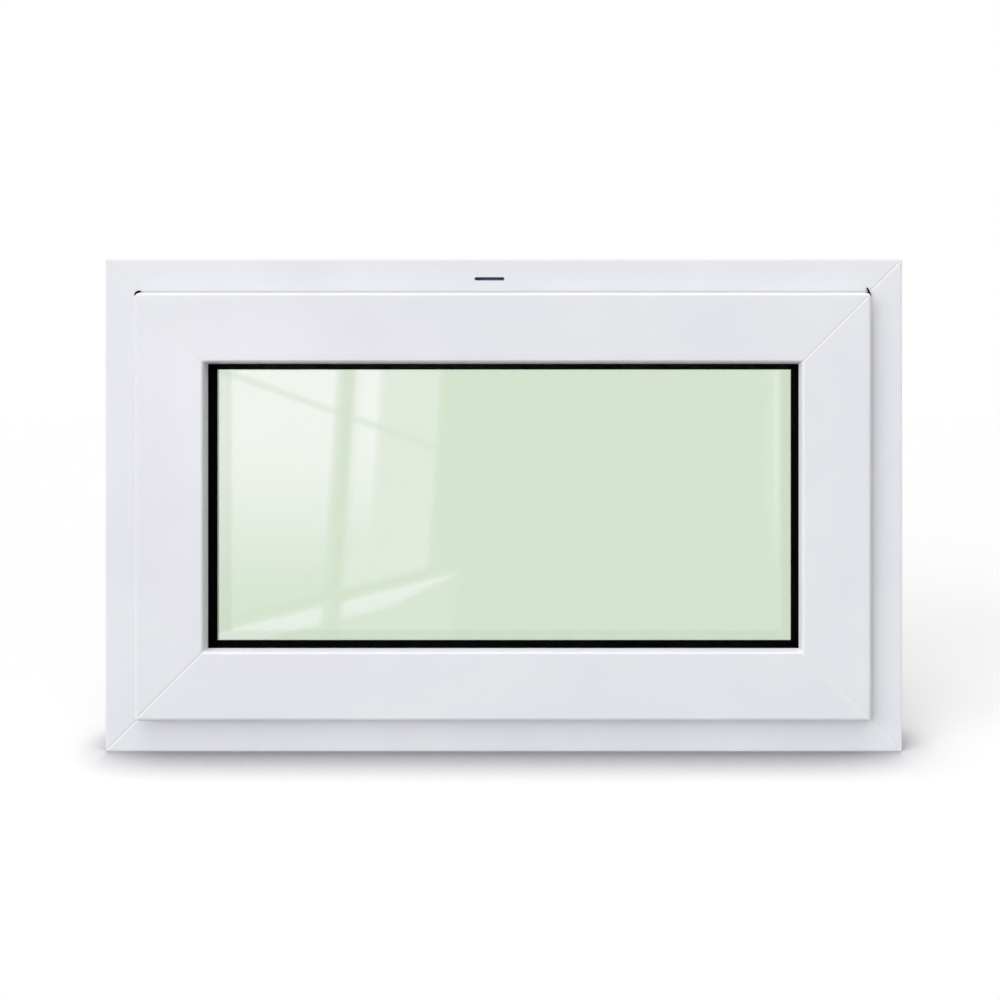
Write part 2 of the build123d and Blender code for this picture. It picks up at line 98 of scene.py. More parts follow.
class Run(Enum):
    """The direction a rail was drawn through its die."""

    ACROSS = "across"
    UPRIGHT = "upright"

    def stretch(self, along: float, across: float) -> tuple[float, float, float]:
        """The grains to a metre on X, Y and Z, of a pattern drawn out along the run."""
        return (along, across, across) if self is Run.ACROSS else (across, across, along)


class Mix(Enum):
    """The places of a Mix node's colour sockets."""

    FACTOR = 0
    FIRST = 6
    SECOND = 7
    RESULT = 2


class Ray(Enum):
    """What a Light Path node tells about the ray that looks at a surface."""

    CAMERA = "Is Camera Ray"
    SHADOW = "Is Shadow Ray"
    THROUGH = "Is Transmission Ray"
    MIRRORED = "Glossy Depth"


class Wire:
    """A shader socket that Python's operators combine through Math nodes."""

    def __init__(self, graph: "Graph", socket: bpy.types.NodeSocket) -> None:
        """Keeps the socket and the graph it belongs to."""
        self.graph = graph
        self.socket = socket

    def _math(self, operation: str, *values: "Wire | float") -> "Wire":
        """The result of a Math node on the values."""
        return self.graph.node("ShaderNodeMath", {"operation": operation}, dict(enumerate(values)))

    def __add__(self, other: "Wire | float") -> "Wire":
        """This plus the other."""
        return self._math("ADD", self, other)

    def __radd__(self, other: float) -> "Wire":
        """A number plus this."""
        return self._math("ADD", other, self)

    def __sub__(self, other: "Wire | float") -> "Wire":
        """This less the other."""
        return self._math("SUBTRACT", self, other)

    def __rsub__(self, other: float) -> "Wire":
        """A number less this."""
        return self._math("SUBTRACT", other, self)

    def __mul__(self, other: "Wire | float") -> "Wire":
        """This times the other."""
        return self._math("MULTIPLY", self, other)

    def __rmul__(self, other: float) -> "Wire":
        """A number times this."""
        return self._math("MULTIPLY", other, self)

    def __gt__(self, other: "Wire | float") -> "Wire":
        """1 where this is greater than the other, and 0 elsewhere."""
        return self._math("GREATER_THAN", self, other)

    def __lt__(self, other: "Wire | float") -> "Wire":
        """1 where this is less than the other, and 0 elsewhere."""
        return self._math("LESS_THAN", self, other)

    def most(self, other: "Wire | float") -> "Wire":
        """The greater of this and the other."""
        return self._math("MAXIMUM", self, other)

    def size(self) -> "Wire":
        """This without its sign."""
        return self._math("ABSOLUTE", self)

    def step(self, start: float, end: float) -> "Wire":
        """A smooth step from 0 to 1 as this goes from start to end.

        Args:
            start: Where the step begins.
            end: Where it ends. Below start, the step falls from 1 to 0.

        Returns:
            The step's value.
        """
        values = {"Value": self, "From Min": min(start, end), "From Max": max(start, end)}
        rising = self.graph.node("ShaderNodeMapRange", {"interpolation_type": "SMOOTHSTEP"}, values)
        return rising if end > start else 1 - rising


class Graph:
    """The node tree of one material or world, with one method that adds any node."""

    def __init__(self, owner: "bpy.types.Material | bpy.types.World") -> None:
        """Clears the owner's tree and starts with its output alone.

        Args:
            owner: The material or world.
        """
        owner.use_nodes = True
        self.tree = owner.node_tree
        self.tree.nodes.clear()
        kind = "ShaderNodeOutputWorld" if isinstance(owner, bpy.types.World) else "ShaderNodeOutputMaterial"
        self.output = self.tree.nodes.new(kind)

    def node(self, kind: str, settings: Settings, inputs: Inputs, output: "str | int" = 0) -> Wire:
        """Adds a node, sets it up and feeds it.

        Args:
            kind: The node's type.
            settings: Its properties, which are set first.
            inputs: A value or a Wire for each socket, by name or place.
            output: The socket that is handed back.

        Returns:
            The chosen output.
        """
        made = self.tree.nodes.new(kind)
        for name, value in settings.items():
            setattr(made, name, value)
        for key, value in inputs.items():
            if isinstance(value, Wire):
                self.tree.links.new(value.socket, made.inputs[key])
            else:
                made.inputs[key].default_value = value
        return Wire(self, made.outputs[output])

    def show(self, shader: Wire) -> None:
        """Feeds a shader to the output."""
        self.tree.links.new(shader.socket, self.output.inputs["Surface"])

    def place(self) -> Wire:
        """The point on the piece, in its object coordinates."""
        return self.node("ShaderNodeTexCoord", {}, {}, "Object")

    def axis(self, place: Wire, name: str) -> Wire:
        """One coordinate of a point."""
        return self.node("ShaderNodeSeparateXYZ", {}, {"Vector": place}, name)

    def ray(self, kind: Ray) -> Wire:
        """What the Light Path tells about the ray."""
        return self.node("ShaderNodeLightPath", {}, {}, kind.value)

    def stretched(self, place: Wire, scale: Sequence[float]) -> Wire:
        """A point scaled along each axis."""
        return self.node("ShaderNodeVectorMath", {"operation": "MULTIPLY"}, {0: place, 1: tuple(scale)})

    def noise(self, place: Wire, scale: float, detail: float = 2.0, roughness: float = 0.5) -> Wire:
        """Soft noise between 0 and 1.

        Args:
            place: Where it is read.
            scale: Its grains to a metre.
            detail: Its octaves.
            roughness: How strong the finer octaves are.

        Returns:
            The noise's value.
        """
        inputs = {"Vector": place, "Scale": scale, "Detail": detail, "Roughness": roughness}
        return self.node("ShaderNodeTexNoise", {}, inputs, "Fac")

    def blend(self, share: "Wire | float", first: "Wire | Colour", second: "Wire | Colour") -> Wire:
        """A colour between two others.

        Args:
            share: How much of the second there is.
            first: The colour at 0.
            second: The colour at 1.

        Returns:
            The mixed colour.
        """
        inputs = {Mix.FACTOR.value: share, Mix.FIRST.value: solid(first), Mix.SECOND.value: solid(second)}
        return self.node("ShaderNodeMix", {"data_type": "RGBA"}, inputs, Mix.RESULT.value)

    def bump(self, height: Wire, depth: float, under: "Wire | None" = None) -> Wire:
        """A normal bent by a height.

        Args:
            height: The height, from 0 to 1.
            depth: How far 1 stands over 0, in metres.
            under: The normal that is bent, where it isn't the surface's own.

        Returns:
            The bent normal.
        """
        inputs = {"Strength": 1.0, "Distance": depth, "Height": height}
        if under:
            inputs["Normal"] = under
        return self.node("ShaderNodeBump", {}, inputs, "Normal")

    def principled(self, inputs: Inputs) -> Wire:
        """A Principled shader."""
        return self.node("ShaderNodeBsdfPrincipled", {}, inputs, "BSDF")

    def emission(self, colour: "Wire | Colour", strength: "Wire | float") -> Wire:
        """A shader that shines."""
        return self.node("ShaderNodeEmission", {}, {"Color": solid(colour), "Strength": strength})

    def mixed(self, share: Wire, first: Wire, second: Wire) -> Wire:
        """A shader between two others."""
        return self.node("ShaderNodeMixShader", {}, {0: share, 1: first, 2: second})


def solid(colour: "Wire | Colour") -> "Wire | tuple[float, ...]":
    """A colour with full alpha, or the wire as it is."""
    return colour if isinstance(colour, Wire) else (*colour, 1.0)


def varied(middle: float, *patterns: tuple[Wire, float]) -> Wire:
    """A value that patterns between 0 and 1 move up and down.

    Args:
        middle: The value where every pattern is halfway.
        patterns: Each pattern, with the span of values that it moves through.

    Returns:
        The varied value.
    """
    low = middle - sum(span for _, span in patterns) / 2
    return sum((pattern * span for pattern, span in patterns), low)


@dataclass(frozen=True)
class Finish:
    """A finish, which makes its material once and hands it out by name."""

    name: str

    def material(self) -> bpy.types.Material:
        """The finish's material, made on first use.

        Returns:
            The material.
        """
        known = bpy.data.materials.get(self.name)
        if known:
            return known
        made = bpy.data.materials.new(self.name)
        self.paint(Graph(made))
        return made

    def paint(self, graph: Graph) -> None:
        """Builds the material's nodes."""
        raise NotImplementedError


@dataclass(frozen=True)
class PlasticFinish(Finish):
    """White window plastic with the faint lines that the die leaves along a rail.

    Where the window's box is given, the trimmed weld lines run in from its corners, painted lighter: partly
    the trimmed plastic's own paler tone, partly a painted highlight where the weld groove catches the light.
    Inside the shaded_chamber's box the plastic is painted dark blue-grey: painted shade in the head's
    chamber, which shows only through a slot cut in the rail.
    """

    run: Run = Run.ACROSS
    window: "Box | None" = None
    shaded_chamber: "Box | None" = None
    colour: Colour = linear(234, 235, 239)
    shade: Colour = linear(229, 230, 235)
    shade_edge: Span = (0.3, 0.75)
    # Painted shade in the head's chamber behind its slot.
    shaded_chamber_colour: Colour = linear(162, 162, 208)
    # Trimmed welds are painted lighter: partly the plastic's own paler tone, partly a painted highlight.
    weld_highlight_colour: Colour = linear(246, 246, 248)
    weld_highlight_share: float = 0.45
    weld_reach: float = 0.0016
    weld_fill: float = 0.00018
    die_lines: Span = (3.0, 900.0)
    die_depth: float = 0.000012
    die_rough: float = 0.06
    clouds: float = 9.0
    cloud_share: float = 0.7
    cloud_rough: float = 0.08
    grain: float = 2600.0
    grain_depth: float = 0.000006
    roughness: float = 0.34
    gloss: float = 0.4

    def paint(self, graph: Graph) -> None:
        """Paints the plastic, die lines, welds with painted highlight, chamber's painted shade and fine
        grain.

        Args:
            graph: The material's graph.
        """
        place = graph.place()
        lines = graph.noise(graph.stretched(place, self.run.stretch(*self.die_lines)), 1.0, 3.0, 0.6)
        clouds = graph.noise(place, self.clouds, 3.0)
        patches = (clouds * self.cloud_share + lines * (1 - self.cloud_share)).step(*self.shade_edge)
        colour = graph.blend(patches, self.colour, self.shade)
        normal = graph.bump(lines, self.die_depth)
        if self.window:
            weld = self.weld(graph, place)
            # Painted highlight along the welds, partly their own paler tone.
            colour = graph.blend(weld * self.weld_highlight_share, colour, self.weld_highlight_colour)
            normal = graph.bump(weld, self.weld_fill, normal)
        # Painted shade: the chamber behind the head's slot is painted dark blue-grey.
        if self.shaded_chamber:
            colour = graph.blend(self.inside(graph, place), colour, self.shaded_chamber_colour)
        graph.show(graph.principled({
            "Base Color": colour,
            "Roughness": varied(self.roughness, (clouds, self.cloud_rough), (lines, self.die_rough)),
            "Specular IOR Level": self.gloss,
            "Normal": graph.bump(graph.noise(place, self.grain), self.grain_depth, normal),
        }))

    def weld(self, graph: Graph, place: Wire) -> Wire:
        """1 on the weld lines, fading to 0 beside them; it places their bump and painted highlight.

        Args:
            graph: The material's graph.
            place: The point on the piece.

        Returns:
            The mask.
        """
        low, high = self.window
        middle, half = (low + high) / 2, (high - low) / 2
        from_side = half.x - (graph.axis(place, "X") - middle.x).size()
        from_end = half.z - (graph.axis(place, "Z") - middle.z).size()
        off_line = (from_side - from_end).size() * math.sqrt(0.5)
        return off_line.step(self.weld_reach, 0)

    def inside(self, graph: Graph, place: Wire) -> Wire:
        """1 inside the shaded_chamber's box, where the shade is painted, and 0 outside it.

        Args:
            graph: The material's graph.
            place: The point on the piece.

        Returns:
            The mask.
        """
        low, high = self.shaded_chamber
        upright, deep = graph.axis(place, "Z"), graph.axis(place, "Y")
        return (upright > low.z) * (upright < high.z) * (deep > low.y) * (deep < high.y)


@dataclass(frozen=True)
class RubberFinish(Finish):
    """Black rubber of gaskets and seals, matt, with a trace of pale bloom."""

    colour: Colour = linear(3, 3, 4)
    bloom_colour: Colour = linear(13, 14, 15)
    bloom: float = 60.0
    bloom_edge: Span = (0.5, 0.85)
    bloom_share: float = 0.5
    bloom_rough: float = 0.1
    grain: float = 1800.0
    grain_depth: float = 0.00003
    grain_rough: float = 0.15
    roughness: float = 0.595
    gloss: float = 0.04

    def paint(self, graph: Graph) -> None:
        """Paints the rubber with its skin of fine grain and its bloom.

        Args:
            graph: The material's graph.
        """
        place = graph.place()
        grain = graph.noise(place, self.grain, 3.0)
        bloom = graph.noise(place, self.bloom, 4.0, 0.65).step(*self.bloom_edge)
        graph.show(graph.principled({
            "Base Color": graph.blend(bloom * self.bloom_share, self.colour, self.bloom_colour),
            "Roughness": varied(self.roughness, (grain, self.grain_rough), (bloom, self.bloom_rough)),
            "Specular IOR Level": self.gloss,
            "Normal": graph.bump(grain, self.grain_depth),
        }))


@dataclass(frozen=True)
class GlassFinish(Finish):
    """Clear float glass with a pale green body, whose tint drifts very slightly across a pane.

    Lamps reach what is behind it through a clear shader of the same tint.
    """

    tint: Colour = (0.825, 0.89, 0.795)
    drift: Colour = (0.83, 0.888, 0.80)
    patches: float = 4.0
    patch_edge: Span = (0.35, 0.7)
    index: float = 1.5

    def paint(self, graph: Graph) -> None:
        """Paints the glass.

        Args:
            graph: The material's graph.
        """
        patches = graph.noise(graph.place(), self.patches).step(*self.patch_edge)
        body = graph.principled({
            "Base Color": graph.blend(patches, self.tint, self.drift),
            "Roughness": 0.0,
            "IOR": self.index,
            "Transmission Weight": 1.0,
        })
        clear = graph.node("ShaderNodeBsdfTransparent", {}, {"Color": solid(self.tint)})
        graph.show(graph.mixed(graph.ray(Ray.SHADOW), body, clear))


@dataclass(frozen=True)
class MetalFinish(Finish):
    """Rolled or drawn metal with fine scratches along one direction and faint blotches."""

    colour: Colour = linear(190, 191, 193)
    dull: Colour = linear(150, 152, 155)
    run: Run = Run.UPRIGHT
    scratches: float = 1500.0
    roughness: float = 0.37
    metallic: float = 1.0
    scratch_run: float = 12.0
    scratch_share: float = 0.3
    scratch_rough: float = 0.16
    scratch_depth: float = 0.00001
    blotches: float = 70.0
    blotch_edge: Span = (0.35, 0.7)
    blotch_share: float = 0.6
    blotch_rough: float = 0.1

    def paint(self, graph: Graph) -> None:
        """Paints the metal with its scratches and blotches.

        Args:
            graph: The material's graph.
        """
        place = graph.place()
        stretch = self.run.stretch(self.scratch_run, self.scratches)
        scratches = graph.noise(graph.stretched(place, stretch), 1.0, 4.0, 0.7)
        blotches = graph.noise(place, self.blotches, 4.0, 0.6).step(*self.blotch_edge)
        dulled = blotches * self.blotch_share + scratches * self.scratch_share
        graph.show(graph.principled({
            "Base Color": graph.blend(dulled, self.colour, self.dull),
            "Metallic": self.metallic,
            "Roughness": varied(
                self.roughness, (scratches, self.scratch_rough), (blotches, self.blotch_rough)
            ),
            "Normal": graph.bump(scratches, self.scratch_depth),
        }))


@dataclass(frozen=True)
class SpangleFinish(Finish):
    """Hot-dip zinc on steel, with its crystal spangle."""

    colour: Colour = linear(178, 182, 186)
    dark: Colour = linear(138, 143, 149)
    crystals: float = 110.0
    crystal_rough: float = 0.2
    grain: float = 800.0
    grain_depth: float = 0.00001
    roughness: float = 0.42

    def paint(self, graph: Graph) -> None:
        """Paints the zinc with flat crystals of several greys.

        Args:
            graph: The material's graph.
        """
        place = graph.place()
        inputs = {"Vector": place, "Scale": self.crystals}
        cell = graph.node("ShaderNodeTexVoronoi", {"feature": "F1"}, inputs, "Color")
        grey = graph.node("ShaderNodeSeparateColor", {}, {"Color": cell}, "Red")
        graph.show(graph.principled({
            "Base Color": graph.blend(grey, self.colour, self.dark),
            "Metallic": 1.0,
            "Roughness": varied(self.roughness, (grey, self.crystal_rough)),
            "Normal": graph.bump(graph.noise(place, self.grain), self.grain_depth),
        }))


@dataclass(frozen=True)
class PowderFinish(Finish):
    """White powder coat on the handle, with the soft orange peel of a stoved paint."""

    colour: Colour = linear(238, 238, 239)
    worn: Colour = linear(228, 228, 229)
    wear: float = 45.0
    wear_edge: Span = (0.4, 0.7)
    wear_rough: float = 0.1
    peel: float = 700.0
    peel_depth: float = 0.00004
    peel_rough: float = 0.06
    roughness: float = 0.30
    coat: float = 0.25
    coat_roughness: float = 0.15

    def paint(self, graph: Graph) -> None:
        """Paints the coat, slightly duller in soft patches where hands wear it unevenly.

        Args:
            graph: The material's graph.
        """
        place = graph.place()
        peel = graph.noise(place, self.peel)
        wear = graph.noise(place, self.wear, 3.0).step(*self.wear_edge)
        graph.show(graph.principled({
            "Base Color": graph.blend(wear, self.colour, self.worn),
            "Roughness": varied(self.roughness, (wear, self.wear_rough), (peel, self.peel_rough)),
            "Coat Weight": self.coat,
            "Coat Roughness": self.coat_roughness,
            "Normal": graph.bump(peel, self.peel_depth),
        }))


@dataclass(frozen=True)
class MouldedFinish(Finish):
    """Moulded plastic or cured sealant in one colour, with a stippled skin."""

    colour: Colour = linear(38, 62, 118)
    worn: Colour = linear(52, 76, 130)
    stipple: float = 1200.0
    stipple_depth: float = 0.00006
    roughness: float = 0.5
    stipple_share: float = 0.2
    stipple_rough: float = 0.16
    patches: float = 50.0
    patch_edge: Span = (0.4, 0.7)
    patch_share: float = 0.6

    def paint(self, graph: Graph) -> None:
        """Paints the stippled skin.

        Args:
            graph: The material's graph.
        """
        place = graph.place()
        stipple = graph.noise(place, self.stipple)
        patches = graph.noise(place, self.patches, 3.0).step(*self.patch_edge)
        worn = patches * self.patch_share + stipple * self.stipple_share
        graph.show(graph.principled({
            "Base Color": graph.blend(worn, self.colour, self.worn),
            "Roughness": varied(self.roughness, (stipple, self.stipple_rough)),
            "Normal": graph.bump(stipple, self.stipple_depth),
        }))


RUBBER = RubberFinish("gasket_rubber")
STAINLESS = MetalFinish("stainless_strip")
ZINC_ACROSS = MetalFinish(
    "zinc_strip", linear(186, 187, 184), linear(150, 150, 144), Run.ACROSS, scratches=1100.0, roughness=0.43
)
SPACER_STRIP = MetalFinish(
    "spacer_strip", linear(206, 207, 209), linear(186, 187, 189), Run.ACROSS,
    scratches=900.0, roughness=0.41, metallic=0.4,
)
SPANGLE = SpangleFinish("galvanised_sheet")
FLOAT_GLASS = GlassFinish("float_glass")
POWDER_COAT = PowderFinish("handle_powder_coat")
BLOCK_PLASTIC = MouldedFinish("setting_block")
SEALANT = MouldedFinish(
    "edge_sealant", linear(30, 30, 32), linear(42, 42, 44),
    stipple=500.0, stipple_depth=0.0001, roughness=0.62,
)
# Painted shade: flat dark dots stand in for the shade inside the spacer's pinholes.
PINHOLE_SHADE = MouldedFinish(
    "pinhole_shade", linear(34, 34, 36), linear(26, 26, 28),
    stipple=2000.0, stipple_depth=0.00001, roughness=0.7,
)
NYLON = MouldedFinish(
    "slider_nylon", linear(214, 210, 198), linear(196, 191, 178),
    stipple=900.0, stipple_depth=0.00004, roughness=0.42,
)


def dress(node: str, finish: Finish) -> None:
    """Gives a CAD node a finish.

    Args:
        node: The node's name.
        finish: The finish it takes.
    """
    slots = frame["nodes"][node].data.materials
    slots.clear()
    slots.append(finish.material())
    log.info("dressed %s in %s", node, finish.name)


def run_of(side: str) -> Run:
    """The direction in which the rail on that side was drawn."""
    return Run.ACROSS if side in ("bottom", "top") else Run.UPRIGHT


def welded_plastic(side: str) -> PlasticFinish:
    """The plastic of a welded rail, with the weld lines of the whole window and their painted highlight.

    Args:
        side: The rail's side.

    Returns:
        The finish.
    """
    run = run_of(side)
    outline = (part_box("frame_sill")[0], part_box("frame_head")[1])
    return PlasticFinish(f"plastic_{run.value}", run, window=outline)


def linked(name: str, data: "bpy.types.ID") -> bpy.types.Object:
    """A new object for some data, linked to the scene.

    Args:
        name: Its name.
        data: Its mesh, lamp or camera.

    Returns:
        The object.
    """
    made = bpy.data.objects.new(name, data)
    bpy.context.scene.collection.objects.link(made)
    return made


def closed_mesh(made: bmesh.types.BMesh, name: str) -> bpy.types.Mesh:
    """Turns a closed shape's faces outwards and makes it a plain mesh.

    Args:
        made: The shape, which is used up.
        name: The mesh's name.

    Returns:
        The mesh.
    """
    bmesh.ops.recalc_face_normals(made, faces=made.faces)
    mesh = bpy.data.meshes.new(name)
    made.to_mesh(mesh)
    made.free()
    return mesh


def plain_mesh(source: bpy.types.Object, name: str) -> bpy.types.Object:
    """Turns an object with modifiers into a plain mesh at the origin.

    Args:
        source: The object, which is removed.
        name: The new piece's name.

    Returns:
        The new object, linked to the scene.
    """
    bpy.context.view_layer.update()
    evaluated = source.evaluated_get(bpy.context.evaluated_depsgraph_get())
    mesh = bpy.data.meshes.new_from_object(evaluated)
    mesh.name = name
    bpy.data.objects.remove(source)
    return linked(name, mesh)


@dataclass
class Repeater:
    """A Geometry Nodes tree that sets copies of a small mesh on the points of a guide mesh.

    Each point's "turn" attribute turns its copy about X, Y and Z.
    """

    template: bpy.types.Mesh
    finish: Finish
    scale: float = 1.0

    def tree(self) -> bpy.types.NodeTree:
        """Builds the tree, with the template's object and its scale as named inputs.

        Returns:
            The tree.
        """
        tree = bpy.data.node_groups.new(f"repeat_{self.template.name}", "GeometryNodeTree")
        for name, way, kind in (
            ("Geometry", "INPUT", "NodeSocketGeometry"), ("Template", "INPUT", "NodeSocketObject"),
            ("Scale", "INPUT", "NodeSocketFloat"), ("Geometry", "OUTPUT", "NodeSocketGeometry"),
        ):
            tree.interface.new_socket(name, in_out=way, socket_type=kind)
        nodes = tree.nodes
        start, end = nodes.new("NodeGroupInput"), nodes.new("NodeGroupOutput")
        info = nodes.new("GeometryNodeObjectInfo")
        turn = nodes.new("GeometryNodeInputNamedAttribute")
        turn.data_type = "FLOAT_VECTOR"
        turn.inputs["Name"].default_value = "turn"
        spin = nodes.new("FunctionNodeEulerToRotation")
        copies = nodes.new("GeometryNodeInstanceOnPoints")
        real = nodes.new("GeometryNodeRealizeInstances")
        paint = nodes.new("GeometryNodeSetMaterial")
        paint.inputs["Material"].default_value = self.finish.material()
        for source, given, target, taken in (
            (start, "Template", info, "Object"), (start, "Geometry", copies, "Points"),
            (info, "Geometry", copies, "Instance"), (turn, "Attribute", spin, "Euler"),
            (spin, "Rotation", copies, "Rotation"), (start, "Scale", copies, "Scale"),
            (copies, "Instances", real, "Geometry"), (real, "Geometry", paint, "Geometry"),
            (paint, "Geometry", end, "Geometry"),
        ):
            tree.links.new(source.outputs[given], target.inputs[taken])
        return tree

    def piece(self, name: str, spots: Sequence[Spot]) -> bpy.types.Object:
        """Makes one mesh with a copy on every spot.

        Args:
            name: The piece's name.
            spots: For each copy, its place and its turn about X, Y and Z.

        Returns:
            The finished piece.
        """
        guide = bpy.data.meshes.new(f"{name}_guide")
        guide.from_pydata([spot for spot, _ in spots], [], [])
        turns = guide.attributes.new("turn", "FLOAT_VECTOR", "POINT")
        for value, (_, turn) in zip(turns.data, spots):
            value.vector = turn
        carrier = linked(f"{name}_carrier", guide)
        pattern = linked(f"{name}_pattern", self.template)
        modifier = carrier.modifiers.new("repeat", "NODES")
        modifier.node_group = self.tree()
        values = {"Template": pattern, "Scale": self.scale}
        for socket in modifier.node_group.interface.items_tree:
            if socket.in_out == "INPUT" and socket.name in values:
                modifier[socket.identifier] = values[socket.name]
        made = plain_mesh(carrier, name)
        bpy.data.objects.remove(pattern)
        log.info("repeated %s %d times", name, len(spots))
        return made


def finished(piece: bpy.types.Object) -> None:
    """Lets a new piece ride on the window.

    Args:
        piece: The piece, in its place.
    """
    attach(piece, BODY)


@dataclass
class ScrewHead:
    """A countersunk screw head with a cross recess, its flat face up at Z 0."""

    radius: float = 0.0036
    neck: float = 0.0018
    depth: float = 0.0009
    recess_reach: float = 0.0021
    recess_width: float = 0.0007
    recess_depth: float = 0.0006
    sides: int = 20

    def ring(self, radius: float, z: float) -> list[Vector]:
        """The corners of one ring of the head."""
        turns = (2 * math.pi * side / self.sides for side in range(self.sides))
        return [Vector((radius * math.cos(turn), radius * math.sin(turn), z)) for turn in turns]

    def cross(self, z: float) -> list[Vector]:
        """The recess's outline, as a cross.

        Args:
            z: Its height.

        Returns:
            Its corners, in order.
        """
        reach, half = self.recess_reach, self.recess_width / 2
        arm = [Vector((half, half, z)), Vector((half, reach, z)), Vector((-half, reach, z))]
        return [Matrix.Rotation(turn * QUARTER_TURN, 3, "Z") @ corner for turn in range(4) for corner in arm]

    def mesh(self) -> bpy.types.Mesh:
        """Builds the head: a flat ring round the recess, the recess, the cone and its lower face.

        Returns:
            The mesh.
        """
        made = bmesh.new()
        rim, foot, upper, lower = (
            [made.verts.new(corner) for corner in loop]
            for loop in (
                self.ring(self.radius, 0), self.ring(self.neck, -self.depth),
                self.cross(0), self.cross(-self.recess_depth),
            )
        )
        edges = [made.edges.new((loop[i - 1], loop[i])) for loop in (rim, upper) for i in range(len(loop))]
        bmesh.ops.triangle_fill(made, use_beauty=True, edges=edges)
        for low, high in ((foot, rim), (lower, upper)):
            for i in range(len(low)):
                made.faces.new((low[i - 1], low[i], high[i], high[i - 1]))
        made.faces.new(foot)
        made.faces.new(lower)
        return closed_mesh(made, "screw_head")


@dataclass
class OuterFrame:
    """The four welded rails of the outer frame, with steel inside and a slot in the head.

    The section's hollow body reaches in to its floor, and its back has a recess.
    """

    skin: float = 0.0027
    floor: float = 0.047
    recess: float = 0.0036

    def rail(self, side: str) -> str:
        """The CAD node of one rail."""
        names = {"bottom": "frame_sill", "top": "frame_head"}
        return names.get(side, f"frame_{side}_jamb")

    def head_shaded_chamber(self) -> Box:
        """The box inside the head's outer walls, which takes painted shade.

        Returns:
            Its lowest and highest corner.
        """
        low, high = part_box(self.rail("top"))
        front, back = low.y + self.skin, high.y - self.skin
        bottom, top = high.z - self.floor + self.skin, high.z - self.recess
        return Vector((low.x, front, bottom)), Vector((high.x, back, top))

    def build(self) -> None:
        """Dresses the rails and their stiffeners."""
        # The head's chamber behind its slot takes painted shade.
        head = replace(welded_plastic("top"), name="plastic_head", shaded_chamber=self.head_shaded_chamber())
        for side in SIDES:
            dress(self.rail(side), head if side == "top" else welded_plastic(side))
            dress(f"frame_stiffener_{side}", SPANGLE)


@dataclass
class Sash:
    """The four welded rails of the sash, with steel inside."""

    def rail(self, side: str) -> str:
        """The CAD node of one rail."""
        return f"sash_{side}_{'rail' if side in ('bottom', 'top') else 'stile'}"

    def build(self) -> None:
        """Dresses the rails and their stiffeners."""
        for side in SIDES:
            dress(self.rail(side), welded_plastic(side))
            dress(f"sash_stiffener_{side}", SPANGLE)


@dataclass
class Glazing:
    """The double glazing: panes, spacer with its pinholes, sealant, gaskets and setting blocks."""

    spacer_height: float = 0.007
    pinhole_pitch: float = 0.005
    pinhole_length: float = 0.0016
    pinhole_width: float = 0.0005
    pinhole_sink: float = 0.00002
    corner_clear: float = 0.012
    hole_sides: int = 10

    def pinhole(self) -> bpy.types.Mesh:
        """A flat long dot with round ends, lying in X and Y and facing Z: painted shade in place of a hole.

        Returns:
            The mesh.
        """
        made = bmesh.new()
        straight = (self.pinhole_length - self.pinhole_width) / 2
        radius = self.pinhole_width / 2
        corners = []
        for index in range(self.hole_sides):
            turn = 2 * math.pi * (index + 0.5) / self.hole_sides
            shift = math.copysign(straight, math.cos(turn))
            corners.append(made.verts.new((shift + radius * math.cos(turn), radius * math.sin(turn), 0)))
        top = made.faces.new(corners)
        wall = bmesh.ops.extrude_face_region(made, geom=[top])
        moved = [item for item in wall["geom"] if isinstance(item, bmesh.types.BMVert)]
        bmesh.ops.translate(made, vec=(0, 0, self.pinhole_sink), verts=moved)
        return closed_mesh(made, "spacer_pinhole")

    def steps(self, low: float, high: float) -> list[float]:
        """The places of the pinholes between two corners of the spacer."""
        start, reach = low + self.corner_clear, high - low - 2 * self.corner_clear
        return [start + step * self.pinhole_pitch for step in range(int(reach / self.pinhole_pitch) + 1)]

    def pinhole_spots(self) -> list[Spot]:
        """The pinholes' places on the spacer's inner face, all round, facing the cavity.

        Returns:
            For each, its place and its turn.
        """
        low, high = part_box("glass_spacer")
        wall = Vector((self.spacer_height, 0, self.spacer_height))
        low, high, y = low + wall, high - wall, (low.y + high.y) / 2
        spots = []
        for x in self.steps(low.x, high.x):
            spots.append((Vector((x, y, low.z)), Vector((0, 0, 0))))
            spots.append((Vector((x, y, high.z)), Vector((math.pi, 0, 0))))
        for z in self.steps(low.z, high.z):
            spots.append((Vector((low.x, y, z)), Vector((0, QUARTER_TURN, 0))))
            spots.append((Vector((high.x, y, z)), Vector((0, -QUARTER_TURN, 0))))
        return spots

    def build(self) -> None:
        """Dresses the glazing and sets the spacer's pinholes."""
        for node, finish in (
            ("outer_pane", FLOAT_GLASS), ("inner_pane", FLOAT_GLASS), ("outer_glass_gasket", RUBBER),
            ("edge_sealant", SEALANT), ("glass_spacer", SPACER_STRIP),
            ("setting_block_left", BLOCK_PLASTIC), ("setting_block_right", BLOCK_PLASTIC),
        ):
            dress(node, finish)
        # The pinholes are dots of painted shade, not cut holes.
        holes = Repeater(self.pinhole(), PINHOLE_SHADE).piece("spacer_pinholes", self.pinhole_spots())
        finished(holes)


@dataclass
class Beads:
    """The glazing beads on the room side, each with its gasket."""

    def build(self) -> None:
        """Dresses the beads and their gaskets."""
        for side in SIDES:
            run = run_of(side)
            dress(f"glazing_bead_{side}", PlasticFinish(f"bead_plastic_{run.value}", run))
            dress(f"inner_glass_gasket_{side}", RUBBER)


